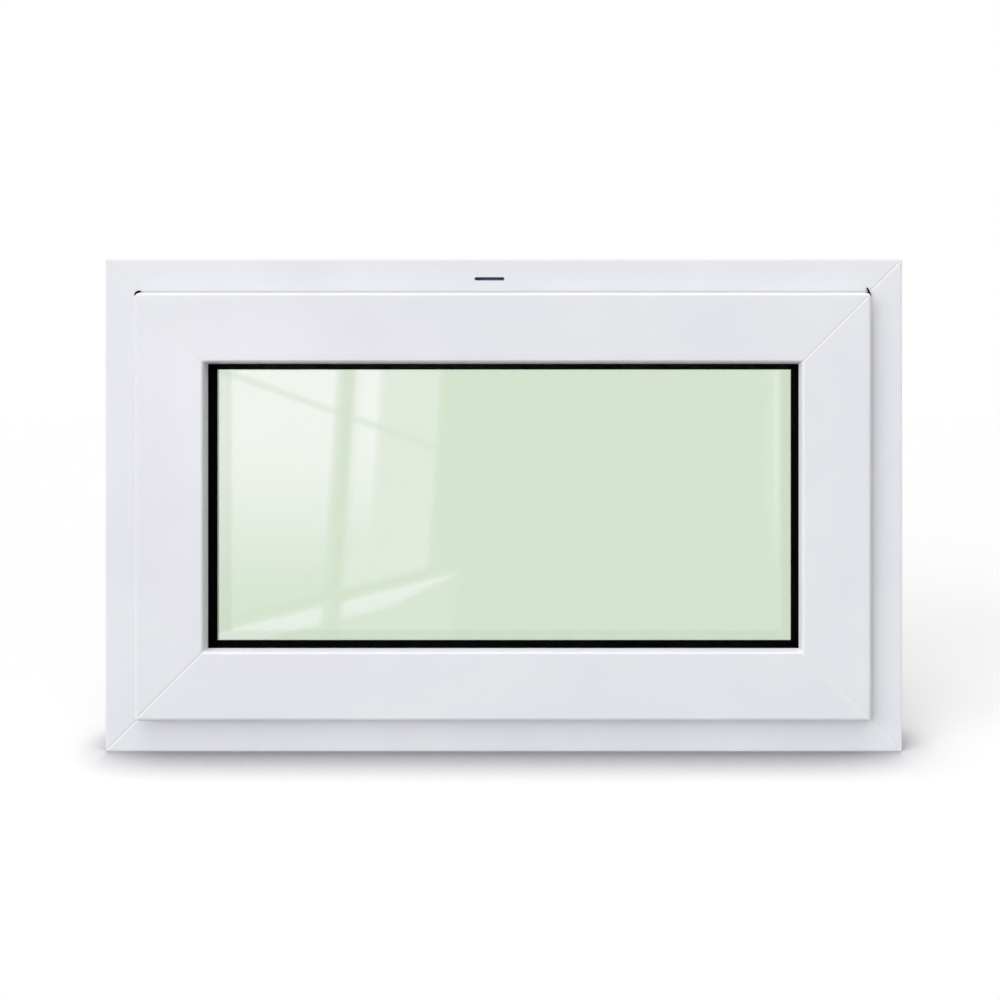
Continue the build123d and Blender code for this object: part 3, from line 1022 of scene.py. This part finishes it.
@dataclass
class WeatherSeals:
    """The two seals between the sash and the frame. Black rubber bulges stand out at the top corners: partly
    the outer seal's lip pushed out at its joints, partly a dark piece standing in for the shaded gap behind
    the sash.

    Each bulge is given by three points on its middle line, as distances outwards from the corner of the
    seal's own outline.
    """

    left_bulge: tuple[Span, ...] = ((0.0030, -0.0047), (0.0018, -0.0003), (-0.0034, 0.0012))
    right_bulge: tuple[Span, ...] = ((0.0018, -0.0046), (-0.0006, 0.0008), (-0.0030, 0.0052))
    lip_half: float = 0.0008
    depth_half: float = 0.0015
    end_squareness: int = 6
    end_size: float = 0.02
    stations: int = 12
    sides: int = 12

    def ring(self, spot: Vector, run: Vector, swell: float) -> list[Vector]:
        """One oval section of a bulge.

        Args:
            spot: Its middle.
            run: The direction in which the bulge runs there.
            swell: Its size, where 1 is full.

        Returns:
            The section's corners.
        """
        across, deep = run.cross(Vector((0, 1, 0))) * self.lip_half, Vector((0, self.depth_half, 0))
        turns = (2 * math.pi * index / self.sides for index in range(self.sides))
        return [spot + (across * math.cos(turn) + deep * math.sin(turn)) * swell for turn in turns]

    def bulge(self, made: bmesh.types.BMesh, corner: Vector, way: int, line: Sequence[Span]) -> None:
        """Adds one bulge: an oval lip along a smooth line, with rounded ends.

        Args:
            made: The mesh it is added to.
            corner: The seal's corner, at the middle of its depth.
            way: -1 on the left and 1 on the right.
            line: The line's start, middle and end, as (outwards, up) from the corner.
        """
        start, middle, end = (corner + Vector((way * out, 0, up)) for out, up in line)
        bend = 2 * middle - (start + end) / 2
        rings = []
        for step in range(self.stations + 1):
            share = step / self.stations
            spot = start * (1 - share) ** 2 + bend * 2 * share * (1 - share) + end * share ** 2
            run = ((bend - start) * (1 - share) + (end - bend) * share).normalized()
            swell = math.sqrt(max(1 - (2 * share - 1) ** self.end_squareness, self.end_size))
            rings.append([made.verts.new(place) for place in self.ring(spot, run, swell)])
        for near, far in zip(rings, rings[1:]):
            for index in range(self.sides):
                wall = made.faces.new((near[index - 1], near[index], far[index], far[index - 1]))
                wall.smooth = True
        made.faces.new(rings[0])
        made.faces.new(rings[-1])

    def corner_shade_bulges(self) -> bpy.types.Object:
        """The black bulges at the two top corners, as one piece: partly the seal's lip, partly standing in
        for shade.

        Returns:
            The piece.
        """
        low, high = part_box("outer_weather_seal")
        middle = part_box("frame_head")[0].y - self.depth_half
        made = bmesh.new()
        self.bulge(made, Vector((low.x, middle, high.z)), -1, self.left_bulge)
        self.bulge(made, Vector((high.x, middle, high.z)), 1, self.right_bulge)
        mesh = closed_mesh(made, "seal_corner_bulges")
        mesh.materials.append(RUBBER.material())
        return linked("seal_corner_bulges", mesh)

    def build(self) -> None:
        """Dresses both seals and adds the bulges, which partly stand in for shade."""
        for node in ("outer_weather_seal", "inner_weather_seal"):
            dress(node, RUBBER)
        finished(self.corner_shade_bulges())


@dataclass
class FrictionStays:
    """The stays that carry the sash, one in each side gap, with their fixing screws."""

    track_wall: float = 0.0013
    screw_places: tuple[float, ...] = (0.10, 0.47, 0.72)
    head: ScrewHead = field(default_factory=ScrewHead)

    def spots(self, side: str) -> list[Spot]:
        """The places of the screws in one track, facing the glass.

        Args:
            side: The track's side.

        Returns:
            For each, its place and its turn.
        """
        low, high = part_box(f"stay_track_{side}")
        middle = (low.y + high.y) / 2
        sunk = self.track_wall + self.head.depth
        x, turn = (low.x + sunk, QUARTER_TURN) if side == "left" else (high.x - sunk, -QUARTER_TURN)
        heights = (low.z + share * (high.z - low.z) for share in self.screw_places)
        return [(Vector((x, middle, z)), Vector((0, turn, 0))) for z in heights]

    def build(self) -> None:
        """Dresses the stays and sets their screws."""
        spots = []
        for side in ("left", "right"):
            for part in ("track", "long_arm", "short_arm", "bar"):
                dress(f"stay_{part}_{side}", STAINLESS)
            dress(f"stay_slider_{side}", NYLON)
            spots += self.spots(side)
        screws = Repeater(self.head.mesh(), STAINLESS).piece("stay_screws", spots)
        finished(screws)


@dataclass
class LockGear:
    """The sliding lock rail and the keeps that its studs enter, with the keeps' screws."""

    screw_offset: float = 0.0185
    head: ScrewHead = field(
        default_factory=lambda: ScrewHead(radius=0.0026, neck=0.0014, recess_reach=0.0016)
    )

    def spots(self, side: str) -> list[Spot]:
        """The places of one keep's two screws, facing up.

        Args:
            side: The keep's side.

        Returns:
            For each, its place and its turn.
        """
        low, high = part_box(f"keep_{side}")
        middle, z = (low + high) / 2, high.z + self.head.depth
        places = (middle.x - self.screw_offset, middle.x + self.screw_offset)
        return [(Vector((x, middle.y, z)), Vector((0, 0, 0))) for x in places]

    def build(self) -> None:
        """Dresses the lock and sets the keeps' screws."""
        for node in ("lock_rail", "keep_left", "keep_right"):
            dress(node, ZINC_ACROSS)
        spots = self.spots("left") + self.spots("right")
        screws = Repeater(self.head.mesh(), ZINC_ACROSS).piece("keep_screws", spots)
        finished(screws)


@dataclass
class Handle:
    """The handle on the room side."""

    def build(self) -> None:
        """Dresses the rose and the lever."""
        for node in ("handle_rose", "handle_lever"):
            dress(node, POWDER_COAT)


@dataclass
class StageCard:
    """A flat stage object between four corners. The kinds of ray in unseen_by don't see it."""

    name: str
    corners: Sequence[Sequence[float]]
    unseen_by: tuple[str, ...]

    def build(self) -> Graph:
        """Builds the card and hands out its material's graph.

        Returns:
            The graph.
        """
        mesh = bpy.data.meshes.new(self.name)
        mesh.from_pydata([tuple(corner) for corner in self.corners], [], [tuple(range(len(self.corners)))])
        card = linked(self.name, mesh)
        material = bpy.data.materials.new(self.name)
        mesh.materials.append(material)
        for ray in self.unseen_by:
            setattr(card, f"visible_{ray}", False)
        return Graph(material)


@dataclass
class ReflectedRoom:
    """A card in front of the glass that only mirrors see: a bright window with a mullion and its lit sill.

    X and Z on the card are the room's. Every upright leans by the same amount, and the soft edges are
    given by their width. A line is given by its height where the lines start, and its slope.
    """

    name: str = "reflected_room"
    distance: float = 0.38
    left: float = -0.54
    right: float = 0.46
    top: float = 0.48
    lean: float = 0.065
    lean_from: float = 0.441
    soft: float = 0.012
    mullion: Span = (-0.297, -0.269)
    second_pane: float = -0.227
    curtain: float = -0.134
    curtain_light: float = 0.44
    fade: Span = (0.0, 0.36)
    foot: Span = (0.042, 0.235)
    sill: Span = (0.029, 0.25)
    sill_depth: float = 0.026
    sill_thin: float = 0.004
    sill_tapers: Span = (0.37, 0.25)
    sill_light: float = 0.7
    sill_end: float = -0.098
    below_sill: float = 0.15
    transom: Span = (0.438, -0.36)
    transom_half: float = 0.010
    transom_dark: float = 0.55
    line_from: float = -0.475
    far_streak: float = 0.402
    far_streak_half: float = 0.009
    far_streak_light: float = 0.5
    far_streak_fade: Span = (0.1, 0.25)
    colour: Colour = (0.87, 0.66, 1.0)
    strength: float = 2.9

    def line(self, x: Wire, height_and_slope: Span) -> Wire:
        """The height of a sloping line."""
        height, slope = height_and_slope
        return (x - self.line_from) * slope + height

    def sill_glow(self, x: Wire, z: Wire) -> Wire:
        """How bright the sill and what lies below it are, from 0 to 1.

        Args:
            x: The place across the card.
            z: The height on it.

        Returns:
            The brightness.
        """
        under_sill = self.line(x, self.sill) - z
        taper = (x - self.line_from).step(*self.sill_tapers)
        depth = taper * (self.sill_depth - self.sill_thin) + self.sill_thin
        streak = under_sill.step(0, self.soft / 2) * (under_sill - depth).step(self.soft, 0)
        return (streak * self.sill_light).most(under_sill.step(0, self.soft) * self.below_sill)

    def light(self, graph: Graph) -> Wire:
        """How bright the card is, from 0 to 1.

        Args:
            graph: The card's graph.

        Returns:
            The brightness.
        """
        place = graph.place()
        x, z = graph.axis(place, "X"), graph.axis(place, "Z")
        upright = x - (z - self.lean_from) * self.lean
        beside = upright.step(self.mullion[0] + self.soft, self.mullion[0])
        past = upright.step(self.mullion[1], self.mullion[1] + self.soft)
        panes = beside + past * upright.step(self.second_pane + self.soft, self.second_pane)
        curtain = past * upright.step(self.curtain + self.soft, self.curtain) * self.curtain_light
        over_transom = (z - self.line(x, self.transom)).size()
        crossed = 1 - over_transom.step(self.transom_half, 0) * self.transom_dark
        over_foot = (z - self.line(x, self.foot)).step(0, self.soft)
        window = (panes * z.step(*self.fade)).most(curtain) * crossed * over_foot
        sill_stops = upright.step(self.sill_end + 2 * self.soft, self.sill_end)
        sill = self.sill_glow(x, z) * (beside + past) * sill_stops
        streak = (x - self.far_streak).size().step(self.far_streak_half, 0)
        far = streak * self.far_streak_light * z.step(*self.far_streak_fade)
        return window.most(sill).most(far)

    def build(self) -> None:
        """Builds the card, which casts no light or shadow and is seen only in mirrors."""
        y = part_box("outer_pane")[0].y - self.distance
        corners = (
            (self.left, y, 0.0), (self.left, y, self.top), (self.right, y, self.top), (self.right, y, 0.0)
        )
        graph = StageCard(self.name, corners, ("camera", "diffuse", "shadow")).build()
        clear = graph.node("ShaderNodeBsdfTransparent", {}, {})
        lit = graph.emission(self.colour, self.strength)
        graph.show(graph.mixed(self.light(graph) * (graph.ray(Ray.MIRRORED) > 0.5), clear, lit))


@dataclass(frozen=True)
class Lamp:
    """A distant lamp. Neither mirrors nor glass show it: only the reflected room shows in the glass.

    It is given by the direction in which it lies, seen from the window, its strength, and its width seen
    from the window, in degrees.
    """

    name: str
    lies: tuple[float, float, float]
    strength: float
    spread: float

    def hang(self) -> bpy.types.Object:
        """Adds the lamp to the scene.

        Returns:
            Its object.
        """
        lamp = bpy.data.lights.new(self.name, "SUN")
        lamp.energy = self.strength
        lamp.angle = math.radians(self.spread)
        made = linked(self.name, lamp)
        made.rotation_euler = Vector(self.lies).to_track_quat("Z", "Y").to_euler()
        made.visible_glossy = False
        made.visible_transmission = False
        return made


@dataclass
class Studio:
    """The pale floor, the white surroundings, the lamps and the camera."""

    # The photograph's frame, in pixels, and where its view lines meet the window square on
    image_width: float = 1000.0
    image_centre: float = 500.0
    square_on_x: float = 565.0
    square_on_y: float = 400.0
    window_left: float = 106.0
    window_right: float = 901.5
    window_bottom: float = 751.5
    distance: float = 0.93
    sensor: float = 36.0

    floor_size: float = 30.0
    floor_drop: float = 0.0001
    floor_colour: Colour = linear(242, 242, 242)
    # Painted shadow on the floor close to the window.
    contact_shadow_colour: Colour = linear(134, 134, 140)
    unseen_colour: Colour = linear(170, 170, 172)
    contact_reach: float = 0.095
    contact_edge: Span = (0.3, 1.0)
    contact_samples: int = 8
    paper_glow: float = 0.14
    ambient: float = 0.30

    box_span: Span = (-1.8, 1.2)
    box_distance: float = 1.5
    box_heights: Span = (1.0, 2.2)
    box_light: float = 0.4

    front_lamps: tuple[Lamp, ...] = (
        Lamp("side_lamp", (-0.95, -1.0, 0.3), 2.34, 55.0),
        Lamp("high_lamp", (-0.08, -0.36, 1.0), 1.40, 50.0),
        Lamp("fill_lamp", (1.0, -1.0, 0.1), 0.45, 60.0),
        Lamp("back_lamp", (-0.1, 0.16, 1.0), 0.20, 30.0),
    )
    room_lamps: tuple[Lamp, ...] = (
        Lamp("room_lamp", (-0.6, 1.0, 0.25), 1.5, 60.0),
        Lamp("room_fill", (0.8, 1.0, 0.1), 0.8, 80.0),
        Lamp("end_lamp", (1.0, 0.45, 0.12), 1.0, 40.0),
    )

    def floor(self) -> None:
        """The floor: pale and matt, with painted shadow near what stands on it, and white seen through
        glass.
        """
        half, low = self.floor_size / 2, -self.floor_drop
        corners = ((-half, -half, low), (half, -half, low), (half, half, low), (-half, half, low))
        graph = StageCard("floor", corners, ("glossy",)).build()
        settings, inputs = {"samples": self.contact_samples}, {"Distance": self.contact_reach}
        # Painted shadow: ambient occlusion darkens the floor close to the window.
        contact = graph.node("ShaderNodeAmbientOcclusion", settings, inputs, "AO").step(*self.contact_edge)
        shade = graph.blend(contact, self.contact_shadow_colour, self.floor_colour)
        seen = graph.ray(Ray.CAMERA)
        shade = graph.blend(seen, self.unseen_colour, shade)
        glow = graph.emission(shade, seen * self.paper_glow)
        matt = graph.node("ShaderNodeBsdfDiffuse", {}, {"Color": shade})
        lit = graph.node("ShaderNodeAddShader", {}, {0: matt, 1: glow})
        graph.show(graph.mixed(graph.ray(Ray.THROUGH), lit, graph.emission(WHITE, 1.0)))

    def surroundings(self) -> None:
        """White to the camera and through glass, and a plain grey light for everything else."""
        world = bpy.data.worlds.new("studio")
        bpy.context.scene.world = world
        graph = Graph(world)
        seen = graph.ray(Ray.CAMERA).most(graph.ray(Ray.THROUGH))
        strength = seen * (1 - self.ambient) + self.ambient
        graph.show(graph.node("ShaderNodeBackground", {}, {"Color": solid(WHITE), "Strength": strength}))

    def soft_box(self) -> None:
        """A bright card high in front, seen only as the gloss on edges that are rounded upwards."""
        (left, right), near, (low, high) = self.box_span, -self.box_distance, self.box_heights
        corners = ((left, near, low), (left, near, high), (right, near, high), (right, near, low))
        unseen_by = ("camera", "diffuse", "transmission", "shadow")
        graph = StageCard("soft_box", corners, unseen_by).build()
        graph.show(graph.emission(WHITE, self.box_light))

    def room_light(self) -> None:
        """Soft lamps behind the window and beside it, which light the window alone."""
        window = bpy.data.collections.new("window")
        for piece in bpy.context.scene.objects:
            if piece.type == "MESH" and piece.name not in ("floor", "reflected_room", "soft_box"):
                window.objects.link(piece)
        for lamp in self.room_lamps:
            lamp.hang().light_linking.receiver_collection = window

    def camera(self) -> None:
        """The camera, square to the window, with the photograph's framing reached by lens shift."""
        low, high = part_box("frame_sill")
        scale = (high.x - low.x) / (self.window_right - self.window_left)
        middle = (self.window_left + self.window_right) / 2
        data = bpy.data.cameras.new("camera")
        data.sensor_width = self.sensor
        data.lens = self.sensor * self.distance / (scale * self.image_width)
        data.shift_x = (self.image_centre - self.square_on_x) / self.image_width
        data.shift_y = (self.square_on_y - self.image_centre) / self.image_width
        made = linked("camera", data)
        x = (self.square_on_x - middle) * scale
        z = (self.window_bottom - self.square_on_y) * scale
        made.location = (x, low.y - self.distance, z)
        made.rotation_euler = (QUARTER_TURN, 0, 0)
        bpy.context.scene.camera = made

    def build(self) -> None:
        """Sets up the stage, the lamps and the camera."""
        self.floor()
        ReflectedRoom().build()
        self.surroundings()
        for lamp in self.front_lamps:
            lamp.hang()
        self.soft_box()
        self.room_light()
        self.camera()
        bpy.context.scene.view_settings.view_transform = "Standard"
        log.info("studio ready")


def main() -> None:
    """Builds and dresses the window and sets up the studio."""
    logging.basicConfig(level=logging.INFO, format="%(message)s")
    bpy.context.view_layer.update()
    parts = [OuterFrame(), Sash(), Glazing(), Beads(), WeatherSeals(), FrictionStays(), LockGear(), Handle()]
    for part in parts:
        part.build()
        log.info("built %s", type(part).__name__)
    Studio().build()
    bpy.context.view_layer.update()


if __name__ == "__main__":
    main()
